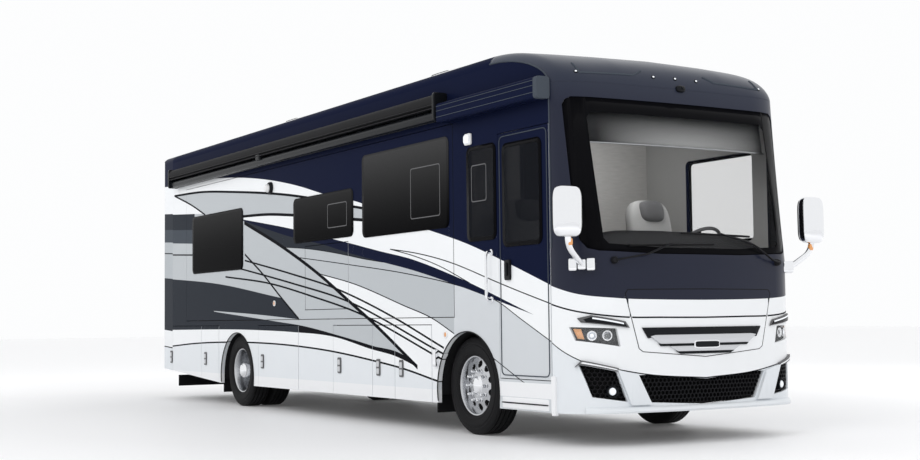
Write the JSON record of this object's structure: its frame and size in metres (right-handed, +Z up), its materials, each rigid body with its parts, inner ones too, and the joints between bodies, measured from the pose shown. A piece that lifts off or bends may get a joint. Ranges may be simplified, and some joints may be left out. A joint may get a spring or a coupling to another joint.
{
  "type": "motorhome",
  "caption": "Bus-shaped motorhome with steered wheels, entry door, slide-out room, luggage doors and lids that open.",
  "frame": {"origin": "on the road under the middle of the bounding box", "axes": "+X forward, +Y to the driver's left, +Z up"},
  "size_m": [10.7598, 3.1, 3.9],
  "materials": {
    "frame_black": "satin",
    "rubber_black": "matte",
    "cast_grey": "rough",
    "floor_wood": "satin",
    "liner_black": "matte",
    "navy_paint": "gloss",
    "white_paint": "gloss",
    "wall_paint": "gloss",
    "grey_paint": "gloss",
    "silver_paint": "gloss",
    "clear_glass": "polished",
    "tinted_glass": "polished",
    "lamp_clear": "clear",
    "lamp_red": "gloss",
    "lamp_amber": "gloss",
    "black_plastic": "matte",
    "white_plastic": "satin",
    "chrome": "polished",
    "dash_black": "matte",
    "seat_leather": "satin",
    "cabinet_wood": "satin",
    "polished_wheel": "polished",
    "tyre": "matte"
  },
  "bodies": {
    "coach": {"chassis_frame": "frame_black", "front_axle": "frame_black", "rear_axle": "frame_black", "air_suspension": "rubber_black", "engine": "cast_grey", "floor_deck": "floor_wood", "storage_bays": "liner_black", "entry_steps": "liner_black", "front_cap": "navy_paint", "rear_cap": "white_paint", "right_wall": "wall_paint", "left_wall": "wall_paint", "roof_shell": "white_paint", "windscreen": "clear_glass", "side_windows": "tinted_glass", "headlamps": "lamp_clear", "bumper_grilles": "black_plastic", "tail_lamps": "lamp_red", "marker_lamps": "lamp_amber", "mirrors": "chrome", "wipers": "black_plastic", "patio_awning": "black_plastic", "door_awning": "navy_paint", "roof_units": "white_plastic", "dashboard": "dash_black", "cab_seats": "seat_leather", "cabin_furniture": "cabinet_wood", "mud_flaps": "rubber_black", "grab_rail": "chrome"},
    "entry_door": {"entry_door": "wall_paint", "entry_glass": "tinted_glass"},
    "slide_room": {"slide_room": "wall_paint", "slide_glass": "tinted_glass"},
    "tv_hatch": {"tv_hatch": "grey_paint"},
    "front_hood": {"front_hood": "silver_paint"},
    "engine_hatch": {"engine_hatch": "white_paint"},
    "steering_wheel": {"steering_wheel": "dash_black"},
    "knuckle_right": {"knuckle_right": "frame_black"},
    "knuckle_left": {"knuckle_left": "frame_black"},
    "wheel_front_right": {"wheel_front_right": "polished_wheel", "tyre_front_right": "tyre"},
    "wheel_front_left": {"wheel_front_left": "polished_wheel", "tyre_front_left": "tyre"},
    "wheel_rear_right": {"wheel_rear_right": "polished_wheel", "tyre_rear_right": "tyre"},
    "wheel_rear_left": {"wheel_rear_left": "polished_wheel", "tyre_rear_left": "tyre"},
    "bay_right_1": {"bay_right_1": "grey_paint"},
    "bay_right_2": {"bay_right_2": "grey_paint"},
    "bay_right_3": {"bay_right_3": "grey_paint"},
    "bay_right_4": {"bay_right_4": "grey_paint"},
    "bay_right_5": {"bay_right_5": "grey_paint"},
    "bay_right_6": {"bay_right_6": "grey_paint"},
    "bay_left_1": {"bay_left_1": "grey_paint"},
    "bay_left_2": {"bay_left_2": "grey_paint"},
    "bay_left_3": {"bay_left_3": "grey_paint"},
    "bay_left_4": {"bay_left_4": "grey_paint"}
  },
  "joints": [
    {"name": "steer_right", "type": "hinge", "parent": "coach", "child": "knuckle_right", "pos_m": [3.365, -0.96, 0.465], "axis": [0, 0, 1], "range_deg": [-40, 40]},
    {"name": "steer_left", "type": "hinge", "parent": "coach", "child": "knuckle_left", "pos_m": [3.365, 0.96, 0.465], "axis": [0, 0, 1], "range_deg": [-40, 40]},
    {"name": "steering_wheel_turn", "type": "hinge", "parent": "coach", "child": "steering_wheel", "pos_m": [4.535, 0.62, 1.79], "axis": [-0.6428, 0, 0.766], "range_deg": [-640, 640]},
    {"name": "roll_front_right", "type": "hinge", "parent": "knuckle_right", "child": "wheel_front_right", "pos_m": [3.365, -1.075, 0.465], "axis": [0, 1, 0], "continuous": true},
    {"name": "roll_front_left", "type": "hinge", "parent": "knuckle_left", "child": "wheel_front_left", "pos_m": [3.365, 1.075, 0.465], "axis": [0, 1, 0], "continuous": true},
    {"name": "roll_rear_right", "type": "hinge", "parent": "coach", "child": "wheel_rear_right", "pos_m": [-2.425, -1.105, 0.465], "axis": [0, 1, 0], "continuous": true},
    {"name": "roll_rear_left", "type": "hinge", "parent": "coach", "child": "wheel_rear_left", "pos_m": [-2.425, 1.105, 0.465], "axis": [0, 1, 0], "continuous": true},
    {"name": "entry_door_swing", "type": "hinge", "parent": "coach", "child": "entry_door", "pos_m": [4.806, -1.289, 1.6], "axis": [0, 0, 1], "range_deg": [0, 90]},
    {"name": "slide_room_travel", "type": "slide", "parent": "coach", "child": "slide_room", "axis": [0, -1, 0], "range_m": [0, 0.7]},
    {"name": "tv_hatch_lift", "type": "hinge", "parent": "slide_room", "child": "tv_hatch", "pos_m": [0.305, -1.289, 1.971], "axis": [-1, 0, 0], "range_deg": [0, 85]},
    {"name": "bay_right_1_swing", "type": "hinge", "parent": "coach", "child": "bay_right_1", "pos_m": [-3.733, -1.289, 0.7], "axis": [0, 0, 1], "range_deg": [0, 90]},
    {"name": "bay_right_2_swing", "type": "hinge", "parent": "coach", "child": "bay_right_2", "pos_m": [-3.066, -1.289, 0.7], "axis": [0, 0, 1], "range_deg": [0, 90]},
    {"name": "bay_right_3_swing", "type": "hinge", "parent": "coach", "child": "bay_right_3", "pos_m": [-0.477, -1.289, 0.7], "axis": [0, 0, 1], "range_deg": [0, 90]},
    {"name": "bay_right_4_swing", "type": "hinge", "parent": "coach", "child": "bay_right_4", "pos_m": [1.437, -1.289, 0.7], "axis": [0, 0, 1], "range_deg": [0, 90]},
    {"name": "bay_right_5_swing", "type": "hinge", "parent": "coach", "child": "bay_right_5", "pos_m": [1.944, -1.289, 0.7], "axis": [0, 0, 1], "range_deg": [0, 90]},
    {"name": "bay_right_6_swing", "type": "hinge", "parent": "coach", "child": "bay_right_6", "pos_m": [2.719, -1.289, 0.7], "axis": [0, 0, 1], "range_deg": [0, 90]},
    {"name": "bay_left_1_swing", "type": "hinge", "parent": "coach", "child": "bay_left_1", "pos_m": [-3.733, 1.289, 0.7], "axis": [0, 0, -1], "range_deg": [0, 90]},
    {"name": "bay_left_2_swing", "type": "hinge", "parent": "coach", "child": "bay_left_2", "pos_m": [-0.477, 1.289, 0.7], "axis": [0, 0, -1], "range_deg": [0, 90]},
    {"name": "bay_left_3_swing", "type": "hinge", "parent": "coach", "child": "bay_left_3", "pos_m": [1.437, 1.289, 0.7], "axis": [0, 0, -1], "range_deg": [0, 90]},
    {"name": "bay_left_4_swing", "type": "hinge", "parent": "coach", "child": "bay_left_4", "pos_m": [2.719, 1.289, 0.7], "axis": [0, 0, -1], "range_deg": [0, 90]},
    {"name": "front_hood_lift", "type": "hinge", "parent": "coach", "child": "front_hood", "pos_m": [5.315, 0, 1.336], "axis": [0, -1, 0], "range_deg": [0, 70]},
    {"name": "engine_hatch_lift", "type": "hinge", "parent": "coach", "child": "engine_hatch", "pos_m": [-5.38, 0, 1.72], "axis": [0, 1, 0], "range_deg": [0, 75]}
  ],
  "couplings": [
    {"joint": "steer_left", "follows": "steer_right", "ratio": 1},
    {"joint": "steering_wheel_turn", "follows": "steer_right", "ratio": 16}
  ]
}
